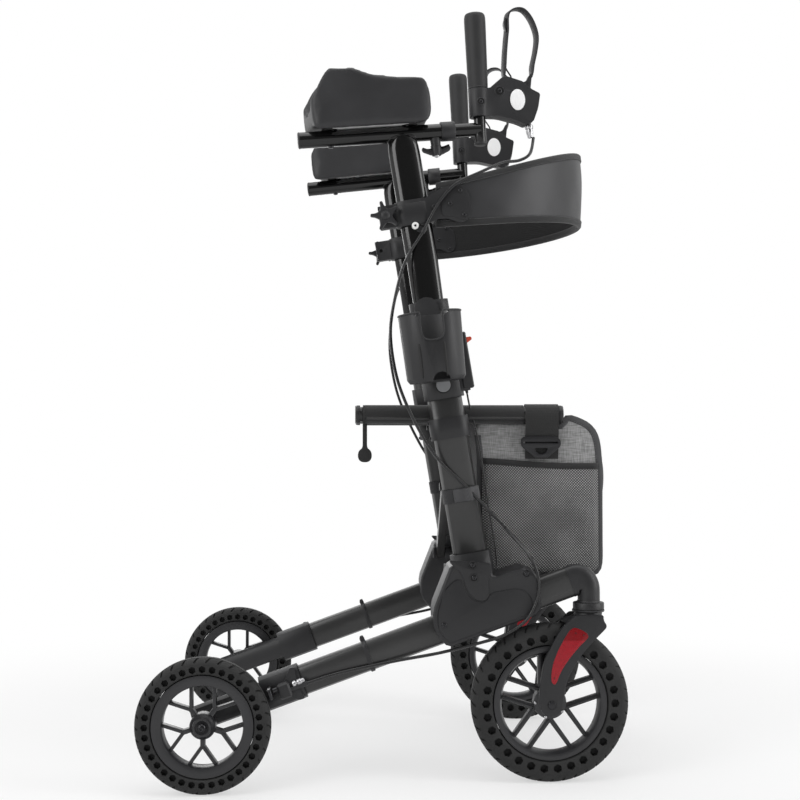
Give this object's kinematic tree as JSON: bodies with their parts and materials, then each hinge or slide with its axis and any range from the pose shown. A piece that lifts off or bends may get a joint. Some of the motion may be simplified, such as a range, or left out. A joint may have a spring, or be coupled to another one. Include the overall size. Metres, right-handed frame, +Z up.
{
  "type": "upright four-wheel rollator",
  "caption": "Folding upright rollator with forearm pads on height-adjustable masts, loop brake levers, swivelling front casters, sling seat, front bag and cup holder.",
  "frame": {"origin": "on the ground under the middle of the bounding box", "axes": "+X forward, the way the user walks; +Y to the user's left; +Z up"},
  "size_m": [0.754, 0.5976, 1.2275],
  "materials": {
    "frame_grey": "satin",
    "gloss_black": "gloss",
    "black_plastic": "matte",
    "wheel_plastic": "satin",
    "tyre_rubber": "matte",
    "steel": "satin",
    "button_grey": "satin",
    "reflector_red": "gloss",
    "release_red": "satin",
    "pad_foam": "satin",
    "band_cloth": "satin",
    "seat_cloth": "matte",
    "bag_cloth": "matte",
    "cable_black": "satin"
  },
  "bodies": {
    "left_frame": {"hub_cover_left": "black_plastic", "side_rail_left": "frame_grey", "front_elbow_left": "black_plastic", "brake_bracket_left": "black_plastic", "rear_axle_left": "steel", "post_left": "frame_grey", "height_collar_left": "black_plastic", "brake_cable_left": "cable_black"},
    "brace_a": {"brace_a": "frame_grey", "seat_sling": "seat_cloth", "fold_strap": "tyre_rubber"},
    "brace_b": {"brace_b": "frame_grey"},
    "right_frame": {"hub_cover_right": "black_plastic", "side_rail_right": "frame_grey", "front_elbow_right": "black_plastic", "brake_bracket_right": "black_plastic", "rear_axle_right": "steel", "post_right": "frame_grey", "height_collar_right": "black_plastic", "brake_cable_right": "cable_black", "cup_holder": "black_plastic"},
    "bag": {"bag": "bag_cloth"},
    "rear_wheel_left": {"rear_tyre_left": "tyre_rubber", "rear_rim_left": "wheel_plastic"},
    "caster_left": {"front_fork_left": "black_plastic", "fork_reflector_left": "reflector_red", "front_axle_left": "steel"},
    "front_wheel_left": {"front_tyre_left": "tyre_rubber", "front_rim_left": "wheel_plastic"},
    "mast_left": {"mast_left": "gloss_black", "forearm_pad_left": "pad_foam", "backrest_bracket_left": "black_plastic", "backrest_band": "band_cloth"},
    "handle_left": {"handle_tube_left": "gloss_black", "grip_left": "black_plastic", "brake_housing_left": "black_plastic"},
    "lever_left": {"brake_lever_left": "black_plastic"},
    "shoe_left": {"brake_shoe_left": "steel"},
    "button_left": {"height_button_left": "button_grey"},
    "wing_left": {"wing_knob_left": "black_plastic"},
    "star_left": {"star_knob_left": "black_plastic"},
    "rear_wheel_right": {"rear_tyre_right": "tyre_rubber", "rear_rim_right": "wheel_plastic"},
    "caster_right": {"front_fork_right": "black_plastic", "fork_reflector_right": "reflector_red", "front_axle_right": "steel"},
    "front_wheel_right": {"front_tyre_right": "tyre_rubber", "front_rim_right": "wheel_plastic"},
    "mast_right": {"mast_right": "gloss_black", "forearm_pad_right": "pad_foam", "backrest_bracket_right": "black_plastic"},
    "handle_right": {"handle_tube_right": "gloss_black", "grip_right": "black_plastic", "brake_housing_right": "black_plastic"},
    "lever_right": {"brake_lever_right": "black_plastic"},
    "shoe_right": {"brake_shoe_right": "steel"},
    "button_right": {"height_button_right": "button_grey"},
    "wing_right": {"wing_knob_right": "black_plastic"},
    "star_right": {"star_knob_right": "black_plastic"},
    "release": {"release_lever": "release_red"}
  },
  "joints": [
    {"name": "fold", "type": "hinge", "parent": "left_frame", "child": "brace_a", "pos_m": [0.108, 0.154, 0.32], "axis": [-1, 0, 0], "range_deg": [0, 39], "deforming": ["seat_sling", "bag", "backrest_band"]},
    {"name": "cross", "type": "hinge", "parent": "brace_a", "child": "brace_b", "pos_m": [0.134, 0, 0.44748], "axis": [-1, 0, 0], "range_deg": [-78.5, 0]},
    {"name": "right_side", "type": "hinge", "parent": "brace_b", "child": "right_frame", "pos_m": [0.134, -0.154, 0.32], "axis": [-1, 0, 0], "range_deg": [0, 39.5]},
    {"name": "bag_lift", "type": "slide", "parent": "left_frame", "child": "bag", "axis": [0, 0.6496, 0.7603], "range_m": [0, 0.178], "deforming": ["bag"]},
    {"name": "rear_left_spin", "type": "hinge", "parent": "left_frame", "child": "rear_wheel_left", "pos_m": [-0.275, 0.275, 0.102], "axis": [0, 1, 0], "continuous": true},
    {"name": "caster_left_swivel", "type": "hinge", "parent": "left_frame", "child": "caster_left", "pos_m": [0.316, 0.219, 0.2655], "axis": [0, 0, 1], "continuous": true},
    {"name": "front_left_spin", "type": "hinge", "parent": "caster_left", "child": "front_wheel_left", "pos_m": [0.2545, 0.219, 0.1225], "axis": [0, 1, 0], "continuous": true},
    {"name": "mast_left_height", "type": "slide", "parent": "left_frame", "child": "mast_left", "axis": [-0.165, 0, 0.9863], "range_m": [-0.1, 0.05], "deforming": ["brake_cable_left"]},
    {"name": "handle_left_reach", "type": "slide", "parent": "mast_left", "child": "handle_left", "axis": [0.9921, -0.0868, 0.0906], "range_m": [-0.03, 0.06], "deforming": ["brake_cable_left"]},
    {"name": "brake_left_squeeze", "type": "hinge", "parent": "handle_left", "child": "lever_left", "pos_m": [0.18155, 0.17115, 1.08795], "axis": [-0.0872, -0.9962, 0], "range_deg": [0, 12], "stiffness_Nm_per_rad": 2, "springref_deg": -5.73},
    {"name": "shoe_left_press", "type": "slide", "parent": "left_frame", "child": "shoe_left", "axis": [-0.9403, 0, -0.3404], "range_m": [0, 0.003]},
    {"name": "button_left_press", "type": "slide", "parent": "left_frame", "child": "button_left", "axis": [0, -1, 0], "range_m": [0, 0.003], "stiffness_N_per_m": 800, "springref_m": -0.002},
    {"name": "wing_left_turn", "type": "hinge", "parent": "mast_left", "child": "wing_left", "pos_m": [0.08152, 0.1799, 0.99202], "axis": [-0.0903, 0.0079, 0.9959], "continuous": true},
    {"name": "star_left_turn", "type": "hinge", "parent": "mast_left", "child": "star_left", "pos_m": [-0.00089, 0.185, 0.88239], "axis": [0, 1, 0], "continuous": true},
    {"name": "rear_right_spin", "type": "hinge", "parent": "right_frame", "child": "rear_wheel_right", "pos_m": [-0.275, -0.275, 0.102], "axis": [0, 1, 0], "continuous": true},
    {"name": "caster_right_swivel", "type": "hinge", "parent": "right_frame", "child": "caster_right", "pos_m": [0.316, -0.219, 0.2655], "axis": [0, 0, 1], "continuous": true},
    {"name": "front_right_spin", "type": "hinge", "parent": "caster_right", "child": "front_wheel_right", "pos_m": [0.2545, -0.219, 0.1225], "axis": [0, 1, 0], "continuous": true},
    {"name": "mast_right_height", "type": "slide", "parent": "right_frame", "child": "mast_right", "axis": [-0.165, 0, 0.9863], "range_m": [-0.1, 0.05], "deforming": ["brake_cable_right"]},
    {"name": "handle_right_reach", "type": "slide", "parent": "mast_right", "child": "handle_right", "axis": [0.9921, 0.0868, 0.0906], "range_m": [-0.03, 0.06], "deforming": ["brake_cable_right"]},
    {"name": "brake_right_squeeze", "type": "hinge", "parent": "handle_right", "child": "lever_right", "pos_m": [0.18155, -0.17115, 1.08795], "axis": [0.0872, -0.9962, 0], "range_deg": [0, 12], "stiffness_Nm_per_rad": 2, "springref_deg": -5.73},
    {"name": "shoe_right_press", "type": "slide", "parent": "right_frame", "child": "shoe_right", "axis": [-0.9403, 0, -0.3404], "range_m": [0, 0.003]},
    {"name": "button_right_press", "type": "slide", "parent": "right_frame", "child": "button_right", "axis": [0, 1, 0], "range_m": [0, 0.003], "stiffness_N_per_m": 800, "springref_m": -0.002},
    {"name": "wing_right_turn", "type": "hinge", "parent": "mast_right", "child": "wing_right", "pos_m": [0.08152, -0.1799, 0.99202], "axis": [-0.0903, -0.0079, 0.9959], "continuous": true},
    {"name": "star_right_turn", "type": "hinge", "parent": "mast_right", "child": "star_right", "pos_m": [-0.00089, -0.185, 0.88239], "axis": [0, 1, 0], "continuous": true},
    {"name": "release_press", "type": "hinge", "parent": "right_frame", "child": "release", "pos_m": [0.1217, -0.185, 0.68603], "axis": [0, 1, 0], "range_deg": [0, 14], "stiffness_Nm_per_rad": 0.2, "springref_deg": -5.73}
  ],
  "couplings": [
    {"joint": "cross", "follows": "fold", "ratio": -2},
    {"joint": "right_side", "follows": "fold", "ratio": 1},
    {"joint": "bag_lift", "follows": "fold", "m_per_rad": 0.259},
    {"joint": "shoe_left_press", "follows": "brake_left_squeeze", "m_per_rad": 0.0143},
    {"joint": "shoe_right_press", "follows": "brake_right_squeeze", "m_per_rad": 0.0143},
    {"joint": "mast_right_height", "follows": "mast_left_height", "ratio": 1}
  ]
}
